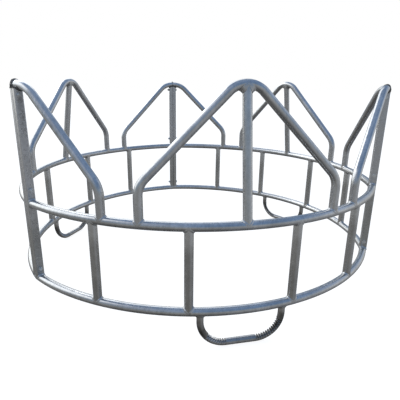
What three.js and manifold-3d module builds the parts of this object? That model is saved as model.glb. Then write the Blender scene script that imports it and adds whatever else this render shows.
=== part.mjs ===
// Ring feeder for round hay bales: three identical galvanised tube sections bolted into a ring.
// Millimetres, +Z up. The ground is at z = 0 and the middle of the front section faces -Y.
import * as THREE from 'three';
import { mergeVertices } from 'three/addons/utils/BufferGeometryUtils.js';
import Module from 'manifold-3d';

const wasm = await Module();
wasm.setup();

// Plan of the ring
const SECTIONS = { front: 0, right: 120, left: -120 };
const JOINTS = { right: 60, rear: 180, left: -60 };
const JOINT_RADIUS = 1132; // ring centre to the middle of each bolted joint
const RAIL_BEND_RADIUS = 1196; // each rail is rolled a little flatter than the ring
const HALF_SECTION = THREE.MathUtils.degToRad(60);

// Tube and post stock
const TUBE_OD = 42.4;
const TUBE_WALL = 2.6;
const FOOT_TUBE_OD = 33.7;
const FOOT_TUBE_WALL = 2.6;
const POST_WIDTH = 30; // along the ring
const POST_DEPTH = 40; // across the ring
const POST_WALL = 3;

// Heights of tube centrelines, from the lower rail's centreline
const RAIL_SPACING = 417;
const HOOP_PEAK = 1005;
const HALF_HOOP_PEAK = 988;

// Hoops: vertical legs, then 45 degree slopes up to a rounded peak
const HOOP_HALF_WIDTH = 463;
const HALF_HOOP_WIDTH = 490; // joint to leg
const HOOP_BEND_RADIUS = 113;
const HALF_HOOP_TOP_BEND_RADIUS = 150;
const HALF_HOOP_LEG = 153; // upper rail to the corner where leg and slope would meet

// Uprights between the rails, as distances from the middle plane of a section
const INNER_UPRIGHT = 254;
const OUTER_UPRIGHT = 663;

// Feet
const FOOT_HALF_WIDTH = 202;
const FOOT_DROP = 180; // lower rail centreline to foot centreline
const FOOT_BEND_RADIUS = 128;

// M12 bolts through the side faces of each pair of end posts
const BOLT_DIAMETER = 12;
const BOLT_HOLE = 13;
const HEX_ACROSS_FLATS = 19;
const HEAD_HEIGHT = 7.5;
const NUT_HEIGHT = 10.8;
const BOLT_TAIL = 5; // thread showing past the nut
const BOLT_HEIGHTS = { lower: 58, middle: 488, upper: 942 }; // above the lower rail

// Clearances and facets
const GAP = 0.3;
const COPE_START = 8; // a coped end starts this far from the centreline it sits on
const POST_TOP_CLEAR = 11; // hoop centreline to the top of an end post
const TUBE_SIDES = 12;
const BORE_SIDES = 8;
const HOLE_SIDES = 8;
const RAIL_STEPS = 16;
const STEP_ANGLE = THREE.MathUtils.degToRad(15); // largest turn between two stations of a bend

const UP = new THREE.Vector3(0, 0, 1);
const LOWER_RAIL_Z = FOOT_DROP + FOOT_TUBE_OD / 2;
const UPPER_RAIL_Z = LOWER_RAIL_Z + RAIL_SPACING;

// The rails' bend centre lies behind the ring centre, seen from the section.
const HALF_CHORD = JOINT_RADIUS * Math.sin(HALF_SECTION);
const HALF_CHORD_DEPTH = JOINT_RADIUS * Math.cos(HALF_SECTION);
const BEND_CENTRE_Y = Math.sqrt(RAIL_BEND_RADIUS ** 2 - HALF_CHORD ** 2) - HALF_CHORD_DEPTH;
const END_ANGLE = Math.asin(HALF_CHORD / RAIL_BEND_RADIUS);
const MID_RADIUS = RAIL_BEND_RADIUS - BEND_CENTRE_Y;

// A half hoop runs straight in plan from its joint to its leg, so it meets the joint plane askew.
const HALF_HOOP_LEG_ANGLE = END_ANGLE - 2 * Math.asin(HALF_HOOP_WIDTH / (2 * RAIL_BEND_RADIUS));
const HALF_HOOP_SKEW = HALF_SECTION - (END_ANGLE + HALF_HOOP_LEG_ANGLE) / 2;

// Puts the middle of the bounding box, front rail to the half hoops' rear ends, on the origin.
const FRONT_REACH = MID_RADIUS + TUBE_OD / 2;
const REAR_REACH = JOINT_RADIUS + TUBE_OD / 2 / Math.cos(HALF_HOOP_SKEW);
const RING_CENTRE_Y = (FRONT_REACH - REAR_REACH) / 2;

const GALVANISED = { color: 0x9aa1a6, roughness: 0.42, metalness: 0.85 };
const POST_STEEL = { color: 0x8c9194, roughness: 0.48, metalness: 0.85 };
const ZINC_PLATED = { color: 0x7d8388, roughness: 0.35, metalness: 0.9 };

// ---- paths ----

/** A tube's centreline as stations, so that straight runs take one step and bends take several. */
class StationPath extends THREE.Curve {
  constructor(stations) {
    super();
    this.stations = stations;
  }

  get steps() {
    return this.stations.length - 1;
  }

  station(t) {
    return this.stations[Math.round(t * this.steps)];
  }

  getPoint(t, target = new THREE.Vector3()) {
    return target.copy(this.station(t).point);
  }

  getPointAt(u, target) {
    return this.getPoint(u, target);
  }

  getTangentAt(u, target = new THREE.Vector3()) {
    return target.copy(this.station(u).tangent);
  }
}

/** Point on a rail's centreline, at an angle from the section's middle about the bend centre. */
function railPoint(angle, z) {
  return new THREE.Vector3(
    RAIL_BEND_RADIUS * Math.sin(angle),
    BEND_CENTRE_Y - RAIL_BEND_RADIUS * Math.cos(angle),
    z,
  );
}

/** Angle of the rail point at a distance x from the section's middle plane. */
function railAngle(x) {
  return Math.asin(x / RAIL_BEND_RADIUS);
}

function railPath(z) {
  const stations = [];
  for (let i = 0; i <= RAIL_STEPS; i++) {
    const angle = END_ANGLE * ((2 * i) / RAIL_STEPS - 1);
    stations.push({
      point: railPoint(angle, z),
      tangent: new THREE.Vector3(Math.cos(angle), Math.sin(angle), 0),
    });
  }
  return new StationPath(stations);
}

/** Straight runs through the corners. Each inner corner is bent to its radius, the last one serving the rest. */
function bentPath(corners, ...radii) {
  const first = corners[0];
  const last = corners[corners.length - 1];
  const direction = (from, to) => to.clone().sub(from).normalize();
  const stations = [{ point: first.clone(), tangent: direction(first, corners[1]) }];
  for (let i = 1; i < corners.length - 1; i++) {
    const radius = radii[Math.min(i, radii.length) - 1];
    const before = direction(corners[i - 1], corners[i]);
    const after = direction(corners[i], corners[i + 1]);
    const turn = before.angleTo(after);
    const axis = before.clone().cross(after).normalize();
    const start = corners[i].clone().addScaledVector(before, -radius * Math.tan(turn / 2));
    const centre = start.clone().addScaledVector(axis.clone().cross(before), radius);
    const steps = Math.ceil(turn / STEP_ANGLE - 0.01);
    for (let k = 0; k <= steps; k++) {
      const angle = (turn * k) / steps;
      stations.push({
        point: start.clone().sub(centre).applyAxisAngle(axis, angle).add(centre),
        tangent: before.clone().applyAxisAngle(axis, angle),
      });
    }
  }
  stations.push({ point: last.clone(), tangent: direction(corners[corners.length - 2], last) });
  return new StationPath(stations);
}

// ---- solids ----

/** Regular outline whose flats, not its corners, lie at the radius; one flat faces each axis. */
function outline(radius, sides) {
  const corner = radius / Math.cos(Math.PI / sides);
  const points = [];
  for (let i = 0; i < sides; i++) {
    const angle = ((i + 0.5) * 2 * Math.PI) / sides;
    points.push(new THREE.Vector2(corner * Math.cos(angle), corner * Math.sin(angle)));
  }
  return points;
}

/** Radius of the regular outline that has a circle's area. */
function equalArea(radius, sides) {
  return radius * Math.sqrt(Math.PI / (sides * Math.tan(Math.PI / sides)));
}

function sweep(path, radius, boreRadius = 0) {
  const section = new THREE.Shape(outline(radius, TUBE_SIDES));
  if (boreRadius > 0) {
    section.holes.push(new THREE.Path(outline(equalArea(boreRadius, BORE_SIDES), BORE_SIDES)));
  }
  return new THREE.ExtrudeGeometry(section, { steps: path.steps, extrudePath: path });
}

function toSolid(geometry) {
  const bare = geometry.clone();
  bare.deleteAttribute('normal');
  bare.deleteAttribute('uv');
  const merged = mergeVertices(bare);
  return new wasm.Manifold(new wasm.Mesh({
    numProp: 3,
    vertProperties: merged.attributes.position.array,
    triVerts: Uint32Array.from(merged.index.array),
  }));
}

function toGeometry(solid) {
  const mesh = solid.getMesh();
  const geometry = new THREE.BufferGeometry();
  geometry.setAttribute('position', new THREE.BufferAttribute(mesh.vertProperties, 3));
  geometry.setIndex(new THREE.BufferAttribute(mesh.triVerts, 1));
  return geometry;
}

/** What is left of a geometry once every cutter is taken away. */
function cut(geometry, ...cutters) {
  return toGeometry(cutters.reduce((solid, cutter) => solid.subtract(toSolid(cutter)), toSolid(geometry)));
}

const tube = (path) => sweep(path, TUBE_OD / 2, TUBE_OD / 2 - TUBE_WALL);
const tubeRoom = (path) => sweep(path, TUBE_OD / 2 + GAP);

/** Everything past a vertical plane across the ring at a joint. Side is +1 for a section's right joint. */
function pastJoint(side, distance) {
  const size = 4 * POST_DEPTH;
  const reach = LOWER_RAIL_Z + HOOP_PEAK + size;
  const box = new THREE.BoxGeometry(size, size, reach);
  box.translate(side * (size / 2 - distance), -JOINT_RADIUS, reach / 2);
  return box.rotateZ(side * HALF_SECTION);
}

/** A prism that stands on z = 0, measured across its flats. */
function prism(acrossFlats, sides, length) {
  const section = new THREE.Shape(outline(acrossFlats / 2, sides));
  return new THREE.ExtrudeGeometry(section, { depth: length, bevelEnabled: false });
}

// ---- one section, with its middle facing -Y ----

const lowerRailPath = railPath(LOWER_RAIL_Z);
const upperRailPath = railPath(UPPER_RAIL_Z);

function upperRail() {
  const reach = POST_WIDTH + 1.5 * GAP;
  return cut(tube(upperRailPath), pastJoint(1, reach), pastJoint(-1, reach));
}

function lowerRail() {
  return cut(tube(lowerRailPath), pastJoint(1, GAP / 2), pastJoint(-1, GAP / 2));
}

function upright(x) {
  const foot = new THREE.Vector3(0, 0, LOWER_RAIL_Z + COPE_START);
  const top = new THREE.Vector3(0, 0, UPPER_RAIL_Z - COPE_START);
  const angle = railAngle(x);
  const place = railPoint(angle, 0);
  const post = tube(bentPath([foot, top], 0)).rotateZ(angle).translate(place.x, place.y, 0);
  return cut(post, tubeRoom(lowerRailPath), tubeRoom(upperRailPath));
}

const HOOP_PLANE_Y = railPoint(railAngle(HOOP_HALF_WIDTH), 0).y;
const HOOP_APEX_Z = LOWER_RAIL_Z + HOOP_PEAK + HOOP_BEND_RADIUS * (Math.SQRT2 - 1);
const hoopPoint = (x, z) => new THREE.Vector3(x, HOOP_PLANE_Y, z);
const fullHoopPath = bentPath(
  [
    hoopPoint(-HOOP_HALF_WIDTH, UPPER_RAIL_Z + COPE_START),
    hoopPoint(-HOOP_HALF_WIDTH, HOOP_APEX_Z - HOOP_HALF_WIDTH),
    hoopPoint(0, HOOP_APEX_Z),
    hoopPoint(HOOP_HALF_WIDTH, HOOP_APEX_Z - HOOP_HALF_WIDTH),
    hoopPoint(HOOP_HALF_WIDTH, UPPER_RAIL_Z + COPE_START),
  ],
  HOOP_BEND_RADIUS,
);

function fullHoop() {
  return cut(tube(fullHoopPath), tubeRoom(upperRailPath));
}

/** Leans in from the middle of the upper rail to the underside of the hoop's peak. */
function centrePost() {
  const railTop = railPoint(0, UPPER_RAIL_Z);
  const peak = hoopPoint(0, LOWER_RAIL_Z + HOOP_PEAK);
  const lean = peak.clone().sub(railTop).normalize();
  const path = bentPath(
    [railTop.clone().addScaledVector(lean, COPE_START), peak.clone().addScaledVector(lean, -COPE_START)],
    0,
  );
  return cut(tube(path), tubeRoom(upperRailPath), tubeRoom(fullHoopPath));
}

/** From over the joint, down a 45 degree slope to a vertical leg on the upper rail. */
function halfHoopPath(side) {
  const joint = railPoint(side * END_ANGLE, 0);
  const leg = railPoint(side * HALF_HOOP_LEG_ANGLE, 0);
  const outward = leg.clone().sub(joint).normalize();
  const peakZ = LOWER_RAIL_Z + HALF_HOOP_PEAK;
  const kneeZ = UPPER_RAIL_Z + HALF_HOOP_LEG;
  const at = (distance, z) => joint.clone().addScaledVector(outward, distance).addScaledVector(UP, z);
  return bentPath(
    [
      at(-TUBE_OD / 2, peakZ),
      at(HALF_HOOP_WIDTH - (peakZ - kneeZ), peakZ),
      at(HALF_HOOP_WIDTH, kneeZ),
      at(HALF_HOOP_WIDTH, UPPER_RAIL_Z + COPE_START),
    ],
    HALF_HOOP_TOP_BEND_RADIUS,
    HOOP_BEND_RADIUS,
  );
}

function halfHoop(side) {
  return cut(tube(halfHoopPath(side)), tubeRoom(upperRailPath), pastJoint(side, GAP / 2));
}

/** Stands on the end of the lower rail and carries the end of the half hoop. */
function endPost(side) {
  const rectangle = (width, depth) => [
    new THREE.Vector2(-width / 2, -depth / 2),
    new THREE.Vector2(width / 2, -depth / 2),
    new THREE.Vector2(width / 2, depth / 2),
    new THREE.Vector2(-width / 2, depth / 2),
  ];
  const section = new THREE.Shape(rectangle(POST_WIDTH, POST_DEPTH));
  section.holes.push(new THREE.Path(rectangle(POST_WIDTH - 2 * POST_WALL, POST_DEPTH - 2 * POST_WALL)));
  const bottom = LOWER_RAIL_Z + COPE_START;
  const depth = HALF_HOOP_PEAK - POST_TOP_CLEAR - COPE_START;
  const post = new THREE.ExtrudeGeometry(section, { depth, bevelEnabled: false });
  post.translate(-side * (POST_WIDTH + GAP) / 2, -JOINT_RADIUS, bottom).rotateZ(side * HALF_SECTION);
  const drillLength = 4 * POST_WIDTH;
  const holes = Object.values(BOLT_HEIGHTS).map((height) => (
    prism(BOLT_HOLE, HOLE_SIDES, drillLength)
      .rotateY(Math.PI / 2)
      .translate(-drillLength / 2, -JOINT_RADIUS, LOWER_RAIL_Z + height)
      .rotateZ(side * HALF_SECTION)
  ));
  return cut(post, tubeRoom(lowerRailPath), tubeRoom(halfHoopPath(side)), ...holes);
}

function foot() {
  const y = railPoint(railAngle(FOOT_HALF_WIDTH), 0).y;
  const at = (x, z) => new THREE.Vector3(x, y, z);
  const legTop = LOWER_RAIL_Z - COPE_START;
  const path = bentPath(
    [
      at(-FOOT_HALF_WIDTH, legTop),
      at(-FOOT_HALF_WIDTH, FOOT_TUBE_OD / 2),
      at(FOOT_HALF_WIDTH, FOOT_TUBE_OD / 2),
      at(FOOT_HALF_WIDTH, legTop),
    ],
    FOOT_BEND_RADIUS,
  );
  const bent = sweep(path, FOOT_TUBE_OD / 2, FOOT_TUBE_OD / 2 - FOOT_TUBE_WALL);
  return cut(bent, tubeRoom(lowerRailPath));
}

// ---- fasteners, lying along the ring at height zero ----

const GRIP = 2 * POST_WIDTH + GAP; // both end posts and the gap between them

function bolt() {
  const shankLength = GRIP + 3 * GAP + NUT_HEIGHT + BOLT_TAIL;
  const head = prism(HEX_ACROSS_FLATS, 6, HEAD_HEIGHT).translate(0, 0, -HEAD_HEIGHT);
  const shank = prism(BOLT_DIAMETER, TUBE_SIDES, shankLength + GAP).translate(0, 0, -GAP);
  const whole = toGeometry(toSolid(head).add(toSolid(shank)));
  return whole.translate(0, 0, -GRIP / 2 - GAP).rotateY(Math.PI / 2);
}

function nut() {
  const blank = prism(HEX_ACROSS_FLATS, 6, NUT_HEIGHT);
  const thread = prism(BOLT_DIAMETER + 2 * GAP, TUBE_SIDES, 3 * NUT_HEIGHT).translate(0, 0, -NUT_HEIGHT);
  return cut(blank, thread).translate(0, 0, GRIP / 2 + GAP).rotateY(Math.PI / 2);
}

// ---- assembly ----

function part(name, geometry, steel) {
  const faceted = geometry.toNonIndexed();
  faceted.computeVertexNormals();
  const mesh = new THREE.Mesh(faceted, new THREE.MeshStandardMaterial({ ...steel, flatShading: true }));
  mesh.name = name;
  return mesh;
}

const sectionPieces = {
  upper_rail: [upperRail(), GALVANISED],
  lower_rail: [lowerRail(), GALVANISED],
  upright_1: [upright(-OUTER_UPRIGHT), GALVANISED],
  upright_2: [upright(-INNER_UPRIGHT), GALVANISED],
  upright_3: [upright(INNER_UPRIGHT), GALVANISED],
  upright_4: [upright(OUTER_UPRIGHT), GALVANISED],
  full_hoop: [fullHoop(), GALVANISED],
  centre_post: [centrePost(), GALVANISED],
  left_half_hoop: [halfHoop(-1), GALVANISED],
  right_half_hoop: [halfHoop(1), GALVANISED],
  left_end_post: [endPost(-1), POST_STEEL],
  right_end_post: [endPost(1), POST_STEEL],
  foot: [foot(), GALVANISED],
};

const ring = new THREE.Group();
ring.position.y = RING_CENTRE_Y;

for (const [sectionName, degrees] of Object.entries(SECTIONS)) {
  const section = new THREE.Group();
  section.rotation.z = THREE.MathUtils.degToRad(degrees);
  for (const [pieceName, [geometry, steel]] of Object.entries(sectionPieces)) {
    section.add(part(`${sectionName}_${pieceName}`, geometry, steel));
  }
  ring.add(section);
}

const boltGeometry = bolt();
const nutGeometry = nut();
for (const [jointName, degrees] of Object.entries(JOINTS)) {
  const joint = new THREE.Group();
  joint.rotation.z = THREE.MathUtils.degToRad(degrees);
  for (const [heightName, height] of Object.entries(BOLT_HEIGHTS)) {
    for (const [kind, geometry] of [['bolt', boltGeometry], ['nut', nutGeometry]]) {
      const piece = part(`${jointName}_joint_${heightName}_${kind}`, geometry, ZINC_PLATED);
      piece.position.set(0, -JOINT_RADIUS, LOWER_RAIL_Z + height);
      joint.add(piece);
    }
  }
  ring.add(joint);
}

const feeder = new THREE.Group();
feeder.add(ring);
export default feeder;
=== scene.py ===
"""Looks for the ring feeder: smooth galvanised tube, welds, end posts and fasteners on the CAD frame.

Metres, +Z up, the CAD model's own frame. Every CAD node is replaced by a finer piece in its place.
"""

import math

import bpy
import numpy as np
from mathutils import Matrix, Vector


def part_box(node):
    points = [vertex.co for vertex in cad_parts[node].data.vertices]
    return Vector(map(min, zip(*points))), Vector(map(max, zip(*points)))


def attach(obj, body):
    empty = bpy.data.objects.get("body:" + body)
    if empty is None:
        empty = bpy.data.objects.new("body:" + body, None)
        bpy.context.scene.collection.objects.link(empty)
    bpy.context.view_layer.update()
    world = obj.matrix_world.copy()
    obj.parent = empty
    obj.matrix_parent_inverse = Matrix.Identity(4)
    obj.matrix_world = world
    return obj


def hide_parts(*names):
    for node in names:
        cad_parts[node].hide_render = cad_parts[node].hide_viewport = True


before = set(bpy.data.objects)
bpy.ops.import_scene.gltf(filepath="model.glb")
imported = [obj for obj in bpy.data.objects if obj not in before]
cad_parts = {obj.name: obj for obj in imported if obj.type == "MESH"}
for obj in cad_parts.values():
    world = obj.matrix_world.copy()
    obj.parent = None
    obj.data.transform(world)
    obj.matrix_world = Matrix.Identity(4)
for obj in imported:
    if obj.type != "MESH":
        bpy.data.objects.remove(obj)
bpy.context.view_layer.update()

# Plan of the ring
SECTIONS = {"front": 0, "right": 120, "left": -120}
JOINTS = {"right": 60, "rear": 180, "left": -60}
JOINT_RADIUS = 1.132
RAIL_BEND_RADIUS = 1.196
HALF_SECTION = math.radians(60)
HALF_CHORD = JOINT_RADIUS * math.sin(HALF_SECTION)
END_ANGLE = math.asin(HALF_CHORD / RAIL_BEND_RADIUS)
BEND_CENTRE_Y = RAIL_BEND_RADIUS * math.cos(END_ANGLE) - JOINT_RADIUS * math.cos(HALF_SECTION)
MID_RADIUS = RAIL_BEND_RADIUS - BEND_CENTRE_Y

# Tube and post stock
TUBE_RADIUS = 0.0212
TUBE_WALL = 0.0026
FOOT_TUBE_RADIUS = 0.01685
POST_WIDTH = 0.030
POST_DEPTH = 0.040
POST_WALL = 0.003
POST_CORNER = 0.0045

# Hoops and foot
HOOP_BEND_RADIUS = 0.113
HALF_HOOP_TOP_BEND_RADIUS = 0.150
HALF_HOOP_WIDTH = 0.490
HALF_HOOP_LEG = 0.153
FOOT_BEND_RADIUS = 0.128
POST_TOP_CLEAR = 0.011

# Fasteners, M12, with the fine shapes of heads, threads and nuts
BOLT_RADIUS = 0.006
HOLE_RADIUS = 0.0065
HEX_ACROSS_FLATS = 0.019
HEAD_HEIGHT = 0.0075
NUT_HEIGHT = 0.0108
BOLT_TAIL = 0.005
THREAD_PITCH = 0.00175
THREAD_DEPTH = 0.00095
THREAD_LENGTH = 0.026
THREAD_RUN_IN = 0.0002  # from the plain shank to the thread's first ring
TIP_CHAMFER = 0.0006
TIP_CHAMFER_LENGTH = 0.001
CHAMFER_RADIUS = 0.97 * HEX_ACROSS_FLATS / 2  # where the hexagon's corner chamfers start
CHAMFER_SLOPE = math.tan(math.radians(30))
WASHER_FACE_RADIUS = 0.95 * HEX_ACROSS_FLATS / 2
HEAD_MIDDLE_RADIUS = 0.0008
COUNTERSINK = 0.0006

# Clearances and fineness
GAP = 0.0003
COPE_CLEAR = 0.0001
SET_BACK = 2.5 * TUBE_RADIUS  # where a tube's end starts on its way to the surface it is fitted to
MARCH_STEPS = 400
MARCH_ERROR = 1e-7
TUBE_SIDES = 40
DRILL_SIDES = 32
SHANK_SIDES = 48
HEX_SIDES = 72
BEND_STEP = math.radians(3)
RAIL_STEP = math.radians(1)
FOLD_STEP = math.radians(0.55)

# Where pieces meet at a joint
GRIP = 2 * POST_WIDTH + GAP
UPPER_RAIL_START = POST_WIDTH + 1.5 * GAP  # from the joint's plane into the section

UP = np.array([0.0, 0.0, 1.0])


def middle(node):
    """The middle of a CAD node's box."""
    low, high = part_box(node)
    return (low + high) / 2


LOWER_RAIL_Z = middle("front_lower_rail").z
UPPER_RAIL_Z = middle("front_upper_rail").z
HOOP_PEAK_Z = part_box("front_full_hoop")[1].z - TUBE_RADIUS
HALF_HOOP_PEAK_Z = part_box("front_right_half_hoop")[1].z - TUBE_RADIUS
HOOP_HALF_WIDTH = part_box("front_full_hoop")[1].x - TUBE_RADIUS
FOOT_HALF_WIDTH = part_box("front_foot")[1].x - FOOT_TUBE_RADIUS
RING_CENTRE_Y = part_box("front_lower_rail")[0].y + TUBE_RADIUS + MID_RADIUS
BOLT_HEIGHTS = {height: middle(f"rear_joint_{height}_nut").z for height in ("lower", "middle", "upper")}


# ---- paths ----


def unit(vectors):
    return vectors / np.linalg.norm(vectors, axis=-1, keepdims=True)


class Path:
    """A tube's centreline in one plane. Across is the plane's normal, and every bend turns about it."""

    def __init__(self, points, tangents, across):
        self.points = np.array(points, float)
        self.tangents = np.array(tangents, float)
        self.across = np.array(across, float)
        steps = np.linalg.norm(np.diff(self.points, axis=0), axis=1)
        self.along = np.concatenate([[0], np.cumsum(steps)])
        self.bends = []  # (first station, last station) of each bend

    @property
    def inward(self):
        """At each station, the direction to the inside of a bend."""
        return np.cross(self.across, self.tangents)

    def nearest(self, places):
        """The nearest point of the centreline to each place."""
        start = self.points[:-1]
        run = np.diff(self.points, axis=0)
        offset = places[:, None] - start
        share = np.clip((offset * run).sum(2) / (run * run).sum(1), 0, 1)
        feet = start + share[..., None] * run
        gaps = np.linalg.norm(places[:, None] - feet, axis=2)
        return feet[np.arange(len(places)), gaps.argmin(1)]

    def distance(self, places):
        return np.linalg.norm(places - self.nearest(places), axis=1)

    def outward(self, places):
        return unit(places - self.nearest(places))


def rail_point(angle, z):
    """Point on a rail's centreline, at an angle from the section's middle about the bend centre."""
    return np.array([
        RAIL_BEND_RADIUS * math.sin(angle),
        BEND_CENTRE_Y - RAIL_BEND_RADIUS * math.cos(angle),
        z,
    ])


def rail_angle(x):
    return math.asin(x / RAIL_BEND_RADIUS)


def rail_path(z):
    count = 2 * math.ceil(END_ANGLE / RAIL_STEP) + 1
    angles = np.linspace(-END_ANGLE, END_ANGLE, count)
    points = [rail_point(angle, z) for angle in angles]
    tangents = [(math.cos(angle), math.sin(angle), 0) for angle in angles]
    return Path(points, tangents, UP)


def turned(vectors, axis, angle):
    """Vectors turned about an axis through the origin."""
    return vectors @ np.array(Matrix.Rotation(angle, 3, tuple(axis))).T


def bent_path(corners, radii, across, step=BEND_STEP):
    """Straight runs through the corners, with each inner corner bent to its radius."""
    corners = [np.array(corner, float) for corner in corners]
    runs = [unit(after - before) for before, after in zip(corners, corners[1:])]
    points, tangents, bends = [corners[0]], [runs[0]], []
    for corner, before, after, radius in zip(corners[1:-1], runs, runs[1:], radii):
        turn = math.acos(np.clip(before @ after, -1, 1))
        start = corner - before * radius * math.tan(turn / 2)
        centre = start + np.cross(across, before) * radius
        first = len(points)
        for angle in np.linspace(0, turn, math.ceil(turn / step) + 1):
            points.append(centre + turned(start - centre, across, angle))
            tangents.append(turned(before, across, angle))
        bends.append((first, len(points) - 1))
    points.append(corners[-1])
    tangents.append(runs[-1])
    path = Path(points, tangents, across)
    path.bends = bends
    return path


def straight_path(start, end):
    run = unit(end - start)
    across = unit(np.cross(run, [run[2], 0.0, -run[0]]))
    return Path([start, end], [run, run], across)


# ---- meshes ----


class Shape:
    """Collects points and faces, and makes one piece of them."""

    def __init__(self):
        self.points = []
        self.faces = []
        self.count = 0

    def add(self, points):
        """Adds points and gives the number of the first."""
        first = self.count
        points = np.asarray(points, float).reshape(-1, 3)
        self.points.append(points)
        self.count += len(points)
        return first

    def skin(self, rings, inside_out=False, loop=False):
        """Quads between successive rings of points. Gives the numbers of the points in each ring."""
        rings = np.asarray(rings, float)
        along, around = rings.shape[:2]
        numbers = self.add(rings) + np.arange(along * around).reshape(along, around)
        below = numbers if loop else numbers[:-1]
        above = np.roll(numbers, -1, 0) if loop else numbers[1:]
        quads = np.stack([below, np.roll(below, -1, 1), np.roll(above, -1, 1), above], -1).reshape(-1, 4)
        self.faces += (quads[:, ::-1] if inside_out else quads).tolist()
        return numbers

    def bridge(self, ring_a, ring_b):
        """Quads between two rings that are already there."""
        quads = np.stack([ring_a, np.roll(ring_a, -1), np.roll(ring_b, -1), ring_b], -1)
        self.faces += quads.tolist()

    def lid(self, ring, flip=False):
        """One flat face over a ring."""
        face = ring.tolist()
        self.faces.append(face[::-1] if flip else face)

    def merge(self, other):
        first = self.add(np.concatenate(other.points))
        self.faces += [[first + number for number in face] for face in other.faces]

    def mesh(self, name, placing):
        points = np.concatenate(self.points)
        mesh = bpy.data.meshes.new(name)
        mesh.from_pydata([tuple(p) for p in points], [], self.faces)
        mesh.transform(placing)
        mesh.validate()
        return mesh


def merged(shapes):
    """Several shapes as one."""
    whole = Shape()
    for shape in shapes:
        whole.merge(shape)
    return whole


def circle(sides):
    """Angles spread evenly round a circle."""
    return np.arange(sides) * 2 * math.pi / sides


def ring_of_points(path, radius, sides=TUBE_SIDES, relief=None):
    """Points round a path: (stations, sides, 3). Angle zero points to the inside of a bend."""
    angles = circle(sides)
    rays = (
        np.cos(angles)[None, :, None] * path.inward[:, None]
        + np.sin(angles)[None, :, None] * path.across
    )
    radii = np.full((len(path.points), sides), radius)
    if relief is not None:
        radii += relief(path, angles)
    return path.points[:, None] + radii[..., None] * rays


def march(places, direction, distance, furthest=0.2):
    """Moves each place along the direction until its distance to a surface is zero."""
    travelled = np.zeros(len(places))
    for _ in range(MARCH_STEPS):
        gap = distance(places + travelled[:, None] * direction)
        if gap.max() < MARCH_ERROR:
            break
        travelled = np.minimum(travelled + np.maximum(gap, 0), furthest)
    return places + travelled[:, None] * direction


def tube_surface(path, radius=TUBE_RADIUS):
    """Distance to the outside of another tube."""
    return lambda places: path.distance(places) - radius - COPE_CLEAR


def plane_surface(point, normal):
    """Distance to a plane, on the side that its normal points to."""
    return lambda places: (places - point) @ normal


def end_of(path, end):
    """The station at one end of a path, and the direction that leads out of the path there."""
    return (0, -path.tangents[0]) if end == "start" else (-1, path.tangents[-1])


def coped(rings, path, end, surface):
    """Moves one end ring along the tube, from a little way back, until it fits the surface."""
    station, direction = end_of(path, end)
    rings[station] = march(rings[station] - direction * SET_BACK, direction, surface)


def tube(path, radius, start, end, relief=None):
    """A hollow tube along a path, with each end fitted to a surface."""
    shape = Shape()
    outer = ring_of_points(path, radius, relief=relief)
    bore = ring_of_points(path, radius - TUBE_WALL, relief=relief)
    for rings in (outer, bore):
        coped(rings, path, "start", start)
        coped(rings, path, "end", end)
    outer_rings = shape.skin(outer, inside_out=True)
    bore_rings = shape.skin(bore)
    shape.bridge(outer_rings[0], bore_rings[0])
    shape.bridge(bore_rings[-1], outer_rings[-1])
    return shape


# ---- one section's centrelines, with its middle facing -Y and the ring's centre on the origin ----

lower_rail_path = rail_path(LOWER_RAIL_Z)
upper_rail_path = rail_path(UPPER_RAIL_Z)

HOOP_PLANE_Y = rail_point(rail_angle(HOOP_HALF_WIDTH), 0)[1]
HOOP_APEX_Z = HOOP_PEAK_Z + HOOP_BEND_RADIUS * (math.sqrt(2) - 1)
HOOP_CORNER_Z = HOOP_APEX_Z - HOOP_HALF_WIDTH
full_hoop_path = bent_path(
    [
        (-HOOP_HALF_WIDTH, HOOP_PLANE_Y, UPPER_RAIL_Z),
        (-HOOP_HALF_WIDTH, HOOP_PLANE_Y, HOOP_CORNER_Z),
        (0, HOOP_PLANE_Y, HOOP_APEX_Z),
        (HOOP_HALF_WIDTH, HOOP_PLANE_Y, HOOP_CORNER_Z),
        (HOOP_HALF_WIDTH, HOOP_PLANE_Y, UPPER_RAIL_Z),
    ],
    [HOOP_BEND_RADIUS] * 3,
    np.array([0.0, 1.0, 0.0]),
)

FOOT_PLANE_Y = rail_point(rail_angle(FOOT_HALF_WIDTH), 0)[1]
foot_path = bent_path(
    [
        (-FOOT_HALF_WIDTH, FOOT_PLANE_Y, LOWER_RAIL_Z),
        (-FOOT_HALF_WIDTH, FOOT_PLANE_Y, FOOT_TUBE_RADIUS),
        (FOOT_HALF_WIDTH, FOOT_PLANE_Y, FOOT_TUBE_RADIUS),
        (FOOT_HALF_WIDTH, FOOT_PLANE_Y, LOWER_RAIL_Z),
    ],
    [FOOT_BEND_RADIUS] * 2,
    np.array([0.0, -1.0, 0.0]),
    FOLD_STEP,
)

centre_post_path = straight_path(
    rail_point(0, UPPER_RAIL_Z), np.array([0, HOOP_PLANE_Y, HOOP_PEAK_Z])
)


def upright_path(number):
    x = middle(f"front_upright_{number}").x
    place = rail_point(rail_angle(x), 0)
    return straight_path(place + UP * LOWER_RAIL_Z, place + UP * UPPER_RAIL_Z)


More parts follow.
